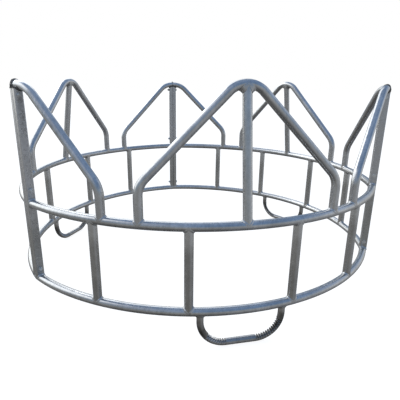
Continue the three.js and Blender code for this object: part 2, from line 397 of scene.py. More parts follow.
def half_hoop_path(side):
    """From over the joint, down a 45 degree slope to a leg on the upper rail. Side is +1 or -1."""
    leg_angle = END_ANGLE - 2 * math.asin(HALF_HOOP_WIDTH / (2 * RAIL_BEND_RADIUS))
    joint = rail_point(side * END_ANGLE, 0)
    outward = unit(rail_point(side * leg_angle, 0) - joint)
    knee_z = UPPER_RAIL_Z + HALF_HOOP_LEG
    slope_start = HALF_HOOP_WIDTH - (HALF_HOOP_PEAK_Z - knee_z)

    def at(distance, z):
        return joint + outward * distance + UP * z

    return bent_path(
        [
            at(0, HALF_HOOP_PEAK_Z),
            at(slope_start, HALF_HOOP_PEAK_Z),
            at(HALF_HOOP_WIDTH, knee_z),
            at(HALF_HOOP_WIDTH, UPPER_RAIL_Z),
        ],
        [HALF_HOOP_TOP_BEND_RADIUS, HOOP_BEND_RADIUS],
        np.cross(outward, -UP),
    )


def joint_frame(side):
    """The joint's middle in plan, the direction along the ring into the section, and the outward one."""
    outward = np.array([side * math.sin(HALF_SECTION), -math.cos(HALF_SECTION), 0.0])
    into = np.array([-side * math.cos(HALF_SECTION), -math.sin(HALF_SECTION), 0.0])
    return outward * JOINT_RADIUS, into, outward


def joint_plane(side, distance):
    """The vertical plane across the ring at a distance into the section from a joint."""
    joint, into, _ = joint_frame(side)
    return plane_surface(joint + into * distance, into)


lower_rail_surface = tube_surface(lower_rail_path)
upper_rail_surface = tube_surface(upper_rail_path)
hoop_surface = tube_surface(full_hoop_path)


# ---- bends that the tube bender leaves its marks on ----

MARK_FADE = 0.010  # length over which the marks start or stop
FOOT_FOLD_PITCH = 0.0128
FOOT_FOLD_DEPTH = 0.0085
FOOT_FOLD_REACH = 0.55  # how far past the tube's side the folds run
FOOT_FOLD_SHARES = [(0.42, 1.04), (-0.06, 0.80)]  # where they start and stop in each bend
HOOP_FOLD_PITCH = 0.011
HOOP_FOLD_DEPTH = 0.0012
HOOP_FOLD_SHARES = (0.05, 0.95)
FLATTENING = 0.0004
FLAT_SHARES = (0.1, 0.9)
VALLEY_POWER = 0.7  # under 1, for wide valleys and sharp crests
SIDE_POWER = 0.8


def bend_window(path, bend, shares):
    """From 0 to 1 along the path: in the given shares of a bend, with soft ends. Also where it starts."""
    start, end = path.along[bend[0]], path.along[bend[1]]
    low, high = (start + (end - start) * share for share in shares)
    rise = np.clip((path.along - low) / MARK_FADE + 0.5, 0, 1)
    fall = np.clip((high - path.along) / MARK_FADE + 0.5, 0, 1)
    return rise * fall, low


def folds(path, angles, bend, shares, pitch, depth, reach):
    """Folds on the inside of a bend: sharp crests at the tube's surface and valleys between them."""
    window, low = bend_window(path, bend, shares)
    phase = (path.along - low) / pitch
    valley = (0.5 - 0.5 * np.cos(2 * math.pi * phase)) ** VALLEY_POWER
    inside = np.clip((np.cos(angles) + reach) / (1 + reach), 0, 1)
    return -depth * (window * valley)[:, None] * inside[None, :] ** SIDE_POWER


def foot_relief(path, angles):
    """Deep folds in both bends of a foot."""
    return sum(
        folds(path, angles, bend, shares, FOOT_FOLD_PITCH, FOOT_FOLD_DEPTH, FOOT_FOLD_REACH)
        for bend, shares in zip(path.bends, FOOT_FOLD_SHARES)
    )


def hoop_relief(path, angles):
    """Faint folds under the peak and a slight flattening of every bend."""
    peak = path.bends[1] if len(path.bends) == 3 else path.bends[0]
    relief = folds(path, angles, peak, HOOP_FOLD_SHARES, HOOP_FOLD_PITCH, HOOP_FOLD_DEPTH, 0.0)
    for bend in path.bends:
        window, _ = bend_window(path, bend, FLAT_SHARES)
        relief -= FLATTENING * window[:, None] * np.cos(2 * angles)[None, :]
    return relief


# ---- welds ----

WELD_LEG = 0.0055
PEAK_WELD_LEG = 0.0070  # of a centre post on its hoop
PEAK_WELD_SIDE_LEG = 0.0090
HEAD_WELD_LEG = 0.0070  # of an end post under its half hoop
END_WELD_RISE = 0.0048  # round the end of a half hoop
END_WELD_WIDTH = 0.0075
WELD_SINK = 0.0004
WELD_LEAST_REACH = 0.0004
POST_EDGE = 0.001  # kept free of the upper rail's weld
WELD_PITCH = 0.0045
WELD_STEP = 0.000783  # between a bead's rings
FACE_POINTS = 6
BEAD_UNEVEN = 0.10  # share of the leg
BEAD_FADE = 0.012  # length over which a closed bead becomes even before its ends meet
BEAD_TAPER = 0.006  # length over which an open bead runs out
BEAD_TAPER_LEAST = 0.15
BEAD_FULLNESS = 0.72
FULL_LEG = 1.2 * WELD_LEG  # a bead with a longer leg than this is more hollow
LEAST_FULL = 0.5
RIPPLE_HEIGHT = 0.00045
RIPPLE_LAG = 1.98  # radians from a ripple's ends to its middle
END_WELD_UNEVEN = 0.16
END_WELD_RIPPLE = 0.08
NOISE_WAVES = 7
NOISE_LENGTHS = (0.010, 0.060)
NOISE_HEIGHT = 2.2  # of the summed waves


def smooth_noise(places, seed):
    """A gentle one-dimensional noise of about unit height, the same every run."""
    random = np.random.default_rng(seed)
    lengths = random.uniform(*NOISE_LENGTHS, NOISE_WAVES)
    starts = random.uniform(0, 2 * math.pi, NOISE_WAVES)
    waves = (np.sin(2 * math.pi * places / length + start) for length, start in zip(lengths, starts))
    return sum(waves) / NOISE_HEIGHT


def bead_sizes(length, total, leg, closed, seed):
    """A bead's leg along its line: a little uneven, and joined up or tapered at the ends."""
    size = leg * (1 + BEAD_UNEVEN * smooth_noise(length, seed))
    from_end = np.minimum(length, total - length)
    if closed:
        return leg + (size - leg) * np.clip(from_end / BEAD_FADE, 0, 1)
    return size * np.sqrt(np.clip(from_end / BEAD_TAPER, BEAD_TAPER_LEAST, 1))


def bead(line, member_out, target_out, away, seed, leg=WELD_LEG, closed=True, reach=None):
    """A fillet weld along a line where two surfaces meet.

    member_out and target_out are the two surfaces' outward normals along the line, and away points
    along the member, away from the target. reach is how much of a leg fits on the target.
    """
    shape = Shape()
    after = np.roll(line, -1, 0) - line
    before = line - np.roll(line, 1, 0)
    if not closed:
        after[-1], before[0] = before[-1], after[0]
    heading = unit(unit(after) + unit(before))
    length = np.concatenate([[0], np.cumsum(np.linalg.norm(np.diff(line, axis=0), axis=1))])
    total = length[-1] + (np.linalg.norm(line[0] - line[-1]) if closed else 0)
    climb = unit(np.cross(heading, member_out))
    climb *= np.sign((climb * away).sum(1))[:, None]
    spread = unit(np.cross(heading, target_out))
    spread *= np.sign((spread * member_out).sum(1))[:, None]

    size = bead_sizes(length, total, leg, closed, seed)
    width = size if reach is None else np.minimum(size, reach)
    toe_up = line + climb * size[:, None] - member_out * WELD_SINK
    toe_out = line + spread * width[:, None] - target_out * WELD_SINK
    fullness = BEAD_FULLNESS * np.clip(FULL_LEG / size, LEAST_FULL, 1)
    crown = line + (climb * size[:, None] + spread * width[:, None]) * fullness[:, None]
    ripples = max(round(total / WELD_PITCH), 3)
    rings = []
    for share in np.linspace(0, 1, FACE_POINTS):
        lag = RIPPLE_LAG * (1 - (2 * share - 1) ** 2)
        ripple = 0.5 + 0.5 * np.cos(2 * math.pi * (ripples * length / total) - lag)
        lift = RIPPLE_HEIGHT * np.sqrt(ripple) * math.sin(math.pi * share)
        face = (1 - share) ** 2 * toe_up + 2 * share * (1 - share) * crown + share**2 * toe_out
        rings.append(face + unit(climb + spread) * lift[:, None])
    rings.append(line - (member_out + target_out) * 2 * WELD_SINK)
    numbers = shape.skin(np.stack(rings, 1), loop=closed)
    if not closed:
        shape.lid(numbers[0], flip=True)
        shape.lid(numbers[-1])
    return shape


def weld_angles(radius):
    """Angles round a tube, one for each ring of a bead."""
    return circle(round(2 * math.pi * radius / WELD_STEP))


def seam(path, end, radius, surface):
    """Where a tube's end meets a surface: the points, the tube's outward directions and the angles."""
    station, direction = end_of(path, end)
    angles = weld_angles(radius)
    if end == "end":
        angles = angles[::-1]
    out = np.cos(angles)[:, None] * path.inward[station] + np.sin(angles)[:, None] * path.across
    start = path.points[station] + radius * out - direction * SET_BACK
    return march(start, direction, surface), out, angles


def tube_weld(path, end, radius, target, seed, leg=WELD_LEG, side_leg=0.0):
    """The weld round a tube's end where it sits on another tube. side_leg is added in the bend plane."""
    line, out, angles = seam(path, end, radius, tube_surface(target))
    leg = leg + side_leg * np.cos(angles) ** 2
    return bead(line, out, target.outward(line), -end_of(path, end)[1], seed, leg)


def butt_weld(path, end, plane_point, plane_normal, seed, reach_of):
    """The weld round a tube's end where it butts on a flat face."""
    line, out, _ = seam(path, end, TUBE_RADIUS, plane_surface(plane_point, plane_normal))
    target_out = np.repeat(plane_normal[None, :], len(line), 0)
    return bead(line, out, target_out, -end_of(path, end)[1], seed, reach=reach_of(line))


def end_weld(side, seed):
    """The closing weld that stands up round the end of a half hoop, over the joint."""
    path = half_hoop_path(side)
    angles = weld_angles(TUBE_RADIUS)
    rays = np.cos(angles)[:, None] * path.inward[0] + np.sin(angles)[:, None] * path.across
    ripples = round(2 * math.pi * TUBE_RADIUS / WELD_PITCH)
    uneven = 1 + END_WELD_UNEVEN * smooth_noise(angles * TUBE_RADIUS, seed)
    uneven += END_WELD_RIPPLE * np.cos(angles * ripples)

    def ring(radii, share):
        return path.points[0] + radii * rays + path.tangents[0] * END_WELD_WIDTH * share

    rings = []
    for share in np.linspace(0, 1, FACE_POINTS + 1):
        rise = END_WELD_RISE * math.sqrt(max(1 - share**2, 0)) * uneven - WELD_SINK
        rings.append(ring((TUBE_RADIUS + rise)[:, None], share))
    rings.append(ring(TUBE_RADIUS - 2 * WELD_SINK, 0.5))
    joint, into, _ = joint_frame(side)
    rings = np.array(rings)
    past = (rings - joint) @ into - GAP / 2
    rings += np.clip(-past, 0, None)[..., None] * into
    shape = Shape()
    shape.skin(rings.transpose(1, 0, 2), loop=True)
    return shape


# ---- end posts ----

CAP_SHARES = np.linspace(0.12, 0.88, 5)  # sizes of the rings that carry a post's closed ends
ON_HOOP = 0.0006  # a post's top edge this near the half hoop rests on it
CAP_EDGE = 0.0012  # reach of the head weld where it only runs over the post's flat top


def rounded_outline(width, depth, corner, corner_steps=6, side_steps=6):
    """A rectangle with round corners, centred on the origin, anticlockwise: points and outward normals."""
    points, normals = [], []
    for quarter in range(4):
        sign_x = 1 if quarter in (0, 3) else -1
        sign_y = 1 if quarter in (0, 1) else -1
        centre = np.array([sign_x * (width / 2 - corner), sign_y * (depth / 2 - corner)])
        for angle in np.linspace(0, math.pi / 2, corner_steps + 1) + quarter * math.pi / 2:
            ray = np.array([math.cos(angle), math.sin(angle)])
            points.append(centre + corner * ray)
            normals.append(ray)
    points, normals = np.array(points), np.array(normals)
    fine_points, fine_normals = [], []
    for i in range(len(points)):
        after = (i + 1) % len(points)
        steps = side_steps if (i + 1) % (corner_steps + 1) == 0 else 1
        for share in np.arange(steps) / steps:
            fine_points.append(points[i] * (1 - share) + points[after] * share)
            fine_normals.append(unit(normals[i] * (1 - share) + normals[after] * share))
    return np.array(fine_points), np.array(fine_normals)


def at_height(places, height):
    """The places moved straight up or down to a height, or each to its own."""
    return places * [1, 1, 0] + UP * np.asarray(height)[..., None]


def post_heights(places, side, wall=0.0):
    """Bottom and top of an end post over each place in plan: fitted to the rail and to the half hoop."""
    rail = tube_surface(lower_rail_path, TUBE_RADIUS + wall)
    start = at_height(places, LOWER_RAIL_Z + 3 * TUBE_RADIUS)
    bottom = march(start, -UP, rail, furthest=3 * TUBE_RADIUS)[:, 2]
    flat_top = HALF_HOOP_PEAK_Z - POST_TOP_CLEAR - wall
    hoop = tube_surface(half_hoop_path(side), TUBE_RADIUS + wall)
    start = at_height(places, flat_top - 2 * TUBE_RADIUS)
    top = march(start, UP, hoop, furthest=2 * TUBE_RADIUS)[:, 2]
    return bottom, np.minimum(top, flat_top)


def post_directions(side, vectors):
    """Vectors given in an end post's section, turned into the frame."""
    _, into, outward = joint_frame(side)
    return vectors[:, :1] * into + vectors[:, 1:] * outward


def post_plan(side, points):
    """Points given in an end post's section, in their place in plan."""
    joint, into, _ = joint_frame(side)
    return joint + into * (POST_WIDTH / 2 + GAP / 2) + post_directions(side, points)


def post_shell(side, width, depth, corner, wall, inside_out):
    """A closed shell of one rounded rectangle, capped at both ends."""
    shape = Shape()
    outline, _ = rounded_outline(width, depth, corner)
    if side < 0:
        outline = outline[::-1]

    def ring(share, end):
        places = post_plan(side, outline * share)
        return at_height(places, post_heights(places, side, wall)[end])

    shares = [*CAP_SHARES, 1.0]
    rings = [ring(share, 0) for share in shares] + [ring(share, 1) for share in shares[::-1]]
    numbers = shape.skin(rings, inside_out=inside_out)
    shape.lid(numbers[0], flip=not inside_out)
    shape.lid(numbers[-1], flip=inside_out)
    return shape


def end_post(side):
    """A rectangular hollow section, closed at both ends, before its bolt holes are drilled."""
    shape = post_shell(side, POST_WIDTH, POST_DEPTH, POST_CORNER, 0.0, False)
    bore_width, bore_depth = POST_WIDTH - 2 * POST_WALL, POST_DEPTH - 2 * POST_WALL
    shape.merge(post_shell(side, bore_width, bore_depth, POST_CORNER - POST_WALL, POST_WALL, True))
    return shape


def post_sides(side):
    """Points round the three open sides of an end post, with their outward directions."""
    outline, normals = rounded_outline(POST_WIDTH, POST_DEPTH, POST_CORNER, corner_steps=8, side_steps=36)
    joint_side = np.where(outline[:, 0] < -POST_WIDTH / 2 + 1e-6)[0]
    count = len(outline) - len(joint_side)
    order = np.roll(np.arange(len(outline)), -joint_side.max() - 1)[:count]
    if side < 0:
        order = order[::-1]
    return post_plan(side, outline[order]), post_directions(side, normals[order])


def post_foot_weld(side, seed):
    """The bead where an end post stands on the lower rail."""
    places, out = post_sides(side)
    low = at_height(places, post_heights(places, side)[0])
    return bead(low, out, lower_rail_path.outward(low), UP, seed, closed=False)


def post_head_weld(side, seed):
    """The heavier bead where a half hoop rests on an end post."""
    places, out = post_sides(side)
    high = at_height(places, post_heights(places, side)[1])[::-1]
    hoop = half_hoop_path(side)
    on_hoop = hoop.distance(high) < TUBE_RADIUS + ON_HOOP
    cap_out = np.where(on_hoop[:, None], hoop.outward(high), -UP)
    reach = np.where(on_hoop, HEAD_WELD_LEG, CAP_EDGE)
    return bead(high, out[::-1], cap_out, -UP, seed, HEAD_WELD_LEG, closed=False, reach=reach)


# ---- fasteners, along the Z axis ----

HEX_ANGLES = circle(HEX_SIDES)


def axis_ring(radii, z, angles=HEX_ANGLES):
    """Points round the Z axis. radii and z are one number each, or one for every angle."""
    return np.stack([radii * np.cos(angles), radii * np.sin(angles), z + 0 * angles], 1)


def hex_profile():
    """At each angle, the radius of a hexagon's side and how far the chamfer has fallen there."""
    sixth = math.pi / 3
    sides = HEX_ACROSS_FLATS / 2 / np.cos((HEX_ANGLES + sixth / 2) % sixth - sixth / 2)
    return sides, np.maximum(sides - CHAMFER_RADIUS, 0) * CHAMFER_SLOPE


def threaded(start, end):
    """Rings of a screw thread between two heights, with the first and last turns run out."""
    angles = circle(SHANK_SIDES)
    rings = []
    for z in np.arange(start, end + 1e-9, THREAD_PITCH / 8):
        phase = (z / THREAD_PITCH - angles / (2 * math.pi)) % 1
        groove = 1 - np.abs(2 * phase - 1)
        fade = np.clip(min(z - start, end - z) / THREAD_PITCH, 0, 1)
        chamfer = TIP_CHAMFER * np.clip(1 - (end - z) / TIP_CHAMFER_LENGTH, 0, 1)
        rings.append(axis_ring(BOLT_RADIUS - THREAD_DEPTH * groove * fade - chamfer, z, angles))
    return rings


def head_underside(outer, inner):
    """Faces between a hexagon ring and a shank ring, three outer points to two inner."""
    faces = []
    for i in range(len(inner) // 2):
        a = [int(outer[(3 * i + k) % len(outer)]) for k in range(4)]
        b = [int(inner[(2 * i + k) % len(inner)]) for k in range(3)]
        faces.append([a[0], a[1], a[2], b[1], b[0]])
        faces.append([a[2], a[3], b[2], b[1]])
    return faces


def bolt():
    """A hexagon head with a plain shank and a threaded end, head at low z."""
    shape = Shape()
    sides, fall = hex_profile()
    head = [
        (HEAD_MIDDLE_RADIUS, 0),
        (CHAMFER_RADIUS, 0),
        (sides, fall),
        (sides, HEAD_HEIGHT),
        (WASHER_FACE_RADIUS, HEAD_HEIGHT),
    ]
    head_rings = shape.skin([axis_ring(radii, z) for radii, z in head])
    shape.lid(head_rings[0], flip=True)
    tip = HEAD_HEIGHT + GRIP + 3 * GAP + NUT_HEIGHT + BOLT_TAIL
    thread_start = tip - THREAD_LENGTH
    plain_heights = (HEAD_HEIGHT, thread_start - THREAD_RUN_IN)
    plain = [axis_ring(BOLT_RADIUS, z, circle(SHANK_SIDES)) for z in plain_heights]
    shank_rings = shape.skin(plain + threaded(thread_start, tip))
    shape.lid(shank_rings[-1])
    shape.faces += head_underside(head_rings[-1], shank_rings[0])
    return shape


def nut():
    """A hexagon nut with chamfers on both faces and a countersunk bore."""
    shape = Shape()
    sides, fall = hex_profile()
    bore = BOLT_RADIUS + GAP
    section = [
        (bore + COUNTERSINK, 0),
        (CHAMFER_RADIUS, 0),
        (sides, fall),
        (sides, NUT_HEIGHT - fall),
        (CHAMFER_RADIUS, NUT_HEIGHT),
        (bore + COUNTERSINK, NUT_HEIGHT),
        (bore, NUT_HEIGHT - COUNTERSINK),
        (bore, COUNTERSINK),
    ]
    shape.skin([axis_ring(radii, z) for radii, z in section], loop=True)
    return shape


# ---- materials ----


class Nodes:
    """Short calls for building a node tree. An input is fed with a socket, a number, or a tuple."""

    def __init__(self, tree):
        self.tree = tree

    def feed(self, socket, value):
        if isinstance(value, bpy.types.NodeSocket):
            self.tree.links.new(value, socket)
        elif isinstance(value, tuple) and socket.type == "RGBA":
            socket.default_value = (*value, 1)
        else:
            socket.default_value = value

    def add(self, kind, feeds, **settings):
        """Adds a node, with its settings, and with its inputs fed by name or number."""
        node = self.tree.nodes.new(kind)
        for name, value in settings.items():
            setattr(node, name, value)
        for key, value in feeds.items():
            self.feed(node.inputs[key], value)
        return node

    def place(self, stretch=(1, 1, 1)):
        """Object coordinates, stretched."""
        coordinates = self.add("ShaderNodeTexCoord", {}).outputs["Object"]
        return self.add("ShaderNodeMapping", {"Vector": coordinates, "Scale": stretch}).outputs["Vector"]

    def noise(self, scale, detail=4.0, rough=0.55, stretch=(1, 1, 1)):
        """Soft noise, with about as many patches per metre as its scale."""
        feeds = {"Vector": self.place(stretch), "Scale": scale, "Detail": detail, "Roughness": rough}
        return self.add("ShaderNodeTexNoise", feeds).outputs["Fac"]

    def cells(self, scale):
        """A random grey for each cell of a pattern, with as many cells per metre as its scale."""
        cells = self.add("ShaderNodeTexVoronoi", {"Vector": self.place(), "Scale": scale})
        return self.add("ShaderNodeRGBToBW", {"Color": cells.outputs["Color"]}).outputs["Val"]

    def span(self, value, low, high, new_low, new_high, **settings):
        """Maps a value from one range to another, clamped."""
        feeds = {"Value": value, "From Min": low, "From Max": high, "To Min": new_low, "To Max": new_high}
        return self.add("ShaderNodeMapRange", feeds, **settings).outputs["Result"]

    def maths(self, operation, a, b):
        return self.add("ShaderNodeMath", {0: a, 1: b}, operation=operation).outputs["Value"]

    def mix(self, share, a, b, blend="MIX"):
        """Mixes two colours."""
        node = self.add("ShaderNodeMix", {"Factor": share}, data_type="RGBA", blend_type=blend)
        for socket, value in zip((s for s in node.inputs if s.type == "RGBA"), (a, b)):
            self.feed(socket, value)
        return next(s for s in node.outputs if s.type == "RGBA")

    def bump(self, height, strength, distance, **under):
        """A bump on the smooth surface, or on another bump that is given as Normal."""
        feeds = {"Height": height, "Strength": strength, "Distance": distance, **under}
        return self.add("ShaderNodeBump", feeds).outputs["Normal"]


def material_nodes(name):
    """A new material, the calls for its nodes, and its shader."""
    material = bpy.data.materials.new(name)
    material.use_nodes = True
    n = Nodes(material.node_tree)
    return material, n, material.node_tree.nodes["Principled BSDF"]


BAND_RAGGED = 0.6  # of a band's soft edge


def banded(n, zinc, bands):
    """The zinc's colour with bands of other colours by height, their soft edges a little ragged."""
    height = n.add("ShaderNodeSeparateXYZ", {"Vector": n.place()}).outputs["Z"]
    ragged = n.span(n.noise(14.0, 4.0), 0.3, 0.7, -BAND_RAGGED, BAND_RAGGED)
    for start, full, share, colour in bands:
        uneven = n.maths("ADD", height, n.maths("MULTIPLY", ragged, full - start))
        zinc = n.mix(n.span(uneven, start, full, 0, share), zinc, colour)
    return zinc


def galvanised(name, bright, dull, stain, rough, spangle=110.0, spangle_depth=0.05, bands=()):
    """Hot-dip galvanised steel: spangle, duller patches, runs down the surface and a little staining."""
    material, n, shader = material_nodes(name)
    # Patches about 140 mm across, upright runs about 12 mm wide and stains about 40 mm across
    patches = n.span(n.noise(7.0, 5.0, 0.6), 0.38, 0.64, 0, 1)
    runs = n.span(n.noise(9.0, 5.0, 0.6, stretch=(9, 9, 1)), 0.35, 0.68, 0, 1)
    stains = n.span(n.noise(23.0, 6.0, 0.7), 0.60, 0.78, 0, 0.7)
    zinc = n.mix(n.maths("MULTIPLY", n.maths("ADD", patches, runs), 0.5), bright, dull)
    zinc = n.mix(stains, zinc, stain)
    if bands:
        zinc = banded(n, zinc, bands)
    grey = n.cells(spangle)
    flake = n.span(grey, 0.15, 0.85, 1 - spangle_depth, 1 + spangle_depth)
    n.feed(shader.inputs["Base Color"], n.mix(1, zinc, flake, "MULTIPLY"))
    roughness = n.span(n.noise(31.0, 4.0, 0.6), 0.3, 0.7, *rough)
    roughness = n.maths("ADD", roughness, n.span(grey, 0.1, 0.9, -0.05, 0.05))
    n.feed(shader.inputs["Roughness"], roughness)
    n.feed(shader.inputs["Metallic"], 1.0)
    grain = n.bump(n.noise(900.0, 3.0, 0.6), 0.015, 0.0002)
    n.feed(shader.inputs["Normal"], n.bump(n.noise(45.0, 3.0, 0.5), 0.10, 0.0012, Normal=grain))
    return material


FRESH_ZINC = (0.70, 0.70, 0.69)
FOOT_DARK_BAND_ZINC = (0.085, 0.082, 0.075)
FOOT_LIGHT_BAND_ZINC = (0.58, 0.565, 0.54)
CLEAN_POST_ZINC = (0.64, 0.64, 0.65)
# A band's height where it starts and where it is full, its share there, and its colour
UPRIGHT_BANDS = [(0.50, 0.55, 0.75, FRESH_ZINC)]
# The foot is near black from about 90 mm up, and lighter again from about 165 mm up to the rail
FOOT_BANDS = [(0.055, 0.090, 0.72, FOOT_DARK_BAND_ZINC), (0.122, 0.166, 0.80, FOOT_LIGHT_BAND_ZINC)]
POST_BANDS = [(0.50, 0.64, 0.85, CLEAN_POST_ZINC)]

# Bright, dull and stained colour, and the range of roughness
TUBE_ZINC = galvanised(
    "galvanised_tube", (0.69, 0.695, 0.70), (0.47, 0.475, 0.48), (0.32, 0.31, 0.29), (0.17, 0.30),
)
UPRIGHT_ZINC = galvanised(
    "galvanised_upright", (0.56, 0.555, 0.54), (0.37, 0.365, 0.35), (0.27, 0.255, 0.235), (0.20, 0.34),
    bands=UPRIGHT_BANDS,
)
FOOT_ZINC = galvanised(
    "galvanised_foot", (0.48, 0.475, 0.47), (0.29, 0.285, 0.275), (0.12, 0.112, 0.100), (0.18, 0.32),
    bands=FOOT_BANDS,
)
POST_ZINC = galvanised(
    "galvanised_post", (0.54, 0.54, 0.525), (0.39, 0.39, 0.38), (0.28, 0.27, 0.25), (0.24, 0.38),
    120.0, 0.06, POST_BANDS,
)
WELD_ZINC = galvanised(
    "galvanised_weld", (0.64, 0.645, 0.65), (0.50, 0.505, 0.51), (0.36, 0.35, 0.33), (0.20, 0.32),
    300.0, 0.06,
)
# Welds at the post heads and round the half hoops' ends: a dark colour that is painted shade, and a
# rougher, duller finish
PAINTED_SHADE_WELD_ZINC = galvanised(
    "end_weld_painted_shade", (0.20, 0.197, 0.19), (0.12, 0.118, 0.112), (0.07, 0.066, 0.06), (0.44, 0.60),
    300.0, 0.06,
)


def zinc_plated(name):
    """Bright zinc plating on a fastener, worn duller, with a trace of rust in its hollows."""
    material, n, shader = material_nodes(name)
    worn = n.span(n.noise(160.0, 5.0, 0.65), 0.35, 0.68, 0, 1)
    rust = n.span(n.noise(420.0, 6.0, 0.7), 0.62, 0.76, 0, 0.6)
    plating = n.mix(worn, (0.86, 0.87, 0.87), (0.62, 0.62, 0.60))
    n.feed(shader.inputs["Base Color"], n.mix(rust, plating, (0.20, 0.13, 0.08)))
    n.feed(shader.inputs["Roughness"], n.span(worn, 0, 1, 0.24, 0.44))
    n.feed(shader.inputs["Metallic"], 0.9)
    n.feed(shader.inputs["Normal"], n.bump(n.noise(1500.0, 3.0), 0.12, 0.0002))
    return material


FASTENER_ZINC = zinc_plated("zinc_plated")


# ---- pieces ----

SIDES = {"left": -1, "right": 1}
UPRIGHT_NUMBERS = range(1, 5)
# Degrees between two faces, past which their edge is sharp
SHARP = 35
FASTENER_SHARP = 24
WELD_SHARP = 60


def turned_about_ring(degrees):
    return Matrix.Translation((0, RING_CENTRE_Y, 0)) @ Matrix.Rotation(math.radians(degrees), 4, "Z")


def piece(name, shape, placing, material, node=None, sharp=SHARP):
    """Makes an object of a shape, in its place, and ties it to the frame."""
    mesh = shape.mesh(name, placing)
    mesh.shade_smooth()
    mesh.set_sharp_from_angle(angle=math.radians(sharp))
    mesh.materials.append(material)
    thing = bpy.data.objects.new(name, mesh)
    bpy.context.scene.collection.objects.link(thing)
    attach(thing, "root")
    if node:
        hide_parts(node)
    return thing


def drilled(thing, side, placing):
    """Cuts the three bolt holes through an end post."""
    joint, into, _ = joint_frame(side)
    drills = Shape()
    for height in BOLT_HEIGHTS.values():
        place = joint + UP * height
        line = straight_path(place - into * POST_WIDTH, place + into * 3 * POST_WIDTH)
        numbers = drills.skin(ring_of_points(line, HOLE_RADIUS, DRILL_SIDES), inside_out=True)
        drills.lid(numbers[0])
        drills.lid(numbers[-1], flip=True)
    cutter = bpy.data.objects.new("drills", drills.mesh("drills", placing))
    bpy.context.scene.collection.objects.link(cutter)
    cut = thing.modifiers.new("drill", "BOOLEAN")
    cut.operation = "DIFFERENCE"
    cut.solver = "EXACT"
    cut.object = cutter
    even = thing.modifiers.new("even_normals", "WEIGHTED_NORMAL")
    even.keep_sharp = True
    graph = bpy.context.evaluated_depsgraph_get()
    finished = bpy.data.meshes.new_from_object(thing.evaluated_get(graph))
    thing.modifiers.clear()
    thing.data = finished
    bpy.data.objects.remove(cutter)


def section_shapes():
    """Every tube of one section: its shape by node name."""
    shapes = {
        "upper_rail": tube(
            upper_rail_path, TUBE_RADIUS,
            joint_plane(-1, UPPER_RAIL_START), joint_plane(1, UPPER_RAIL_START),
        ),
        "lower_rail": tube(
            lower_rail_path, TUBE_RADIUS, joint_plane(-1, GAP / 2), joint_plane(1, GAP / 2),
        ),
        "full_hoop": tube(
            full_hoop_path, TUBE_RADIUS, upper_rail_surface, upper_rail_surface, hoop_relief,
        ),
        "centre_post": tube(centre_post_path, TUBE_RADIUS, upper_rail_surface, hoop_surface),
        "foot": tube(foot_path, FOOT_TUBE_RADIUS, lower_rail_surface, lower_rail_surface, foot_relief),
    }
    for number in UPRIGHT_NUMBERS:
        shapes[f"upright_{number}"] = tube(
            upright_path(number), TUBE_RADIUS, lower_rail_surface, upper_rail_surface,
        )
    for word, side in SIDES.items():
        shapes[f"{word}_half_hoop"] = tube(
            half_hoop_path(side), TUBE_RADIUS, joint_plane(side, GAP / 2), upper_rail_surface, hoop_relief,
        )
    return shapes


def upper_rail_weld(side, seed):
    """The weld round the upper rail's end, no wider than the post that it butts on."""
    joint, into, outward = joint_frame(side)

    def reach_of(line):
        room = POST_DEPTH / 2 - POST_EDGE - np.abs((line - joint) @ outward)
        return np.clip(room, WELD_LEAST_REACH, WELD_LEG)

    end = "end" if side > 0 else "start"
    return butt_weld(upper_rail_path, end, joint + into * UPPER_RAIL_START, into, seed, reach_of)


def section_welds():
    """Every ordinary weld of one section, in one shape. Each bead has its own seed."""
    beads = []
    for number in UPRIGHT_NUMBERS:
        path = upright_path(number)
        beads.append(tube_weld(path, "start", TUBE_RADIUS, lower_rail_path, 10 * number))
        beads.append(tube_weld(path, "end", TUBE_RADIUS, upper_rail_path, 10 * number + 1))
    for end in ("start", "end"):
        beads.append(tube_weld(full_hoop_path, end, TUBE_RADIUS, upper_rail_path, 60 + len(end)))
        beads.append(tube_weld(foot_path, end, FOOT_TUBE_RADIUS, lower_rail_path, 70 + len(end)))
    beads.append(tube_weld(centre_post_path, "start", TUBE_RADIUS, upper_rail_path, 80))
    beads.append(tube_weld(
        centre_post_path, "end", TUBE_RADIUS, full_hoop_path, 81, PEAK_WELD_LEG, PEAK_WELD_SIDE_LEG,
    ))
    for side in SIDES.values():
        beads.append(tube_weld(half_hoop_path(side), "end", TUBE_RADIUS, upper_rail_path, 90 + side))
        beads.append(upper_rail_weld(side, 100 + side))
        beads.append(post_foot_weld(side, 110 + side))
    return merged(beads)


def joint_head_welds():
    """The duller welds of one section at the heads of its end posts, in one shape, with their dark colour
    painted shade.
    """
    beads = []
    for side in SIDES.values():
        beads.append(post_head_weld(side, 111 + side))
        beads.append(end_weld(side, 120 + side))
    return merged(beads)


DULLER_TUBES = {"upright": UPRIGHT_ZINC, "foot": FOOT_ZINC}


def build_sections():
    shapes = section_shapes()
    welds = section_welds()
    head_welds = joint_head_welds()
    for section, degrees in SECTIONS.items():
        placing = turned_about_ring(degrees)
        for name, shape in shapes.items():
            node = f"{section}_{name}"
            material = DULLER_TUBES.get(name.rstrip("_1234"), TUBE_ZINC)
            piece(f"{node}_tube", shape, placing, material, node)
        for word, side in SIDES.items():
            node = f"{section}_{word}_end_post"
            post = piece(f"{node}_section", end_post(side), placing, POST_ZINC, node)
            drilled(post, side, placing)
        piece(f"{section}_welds", welds, placing, WELD_ZINC, sharp=WELD_SHARP)
        piece(
            f"{section}_joint_head_welds", head_welds, placing, PAINTED_SHADE_WELD_ZINC,
            sharp=WELD_SHARP,
        )


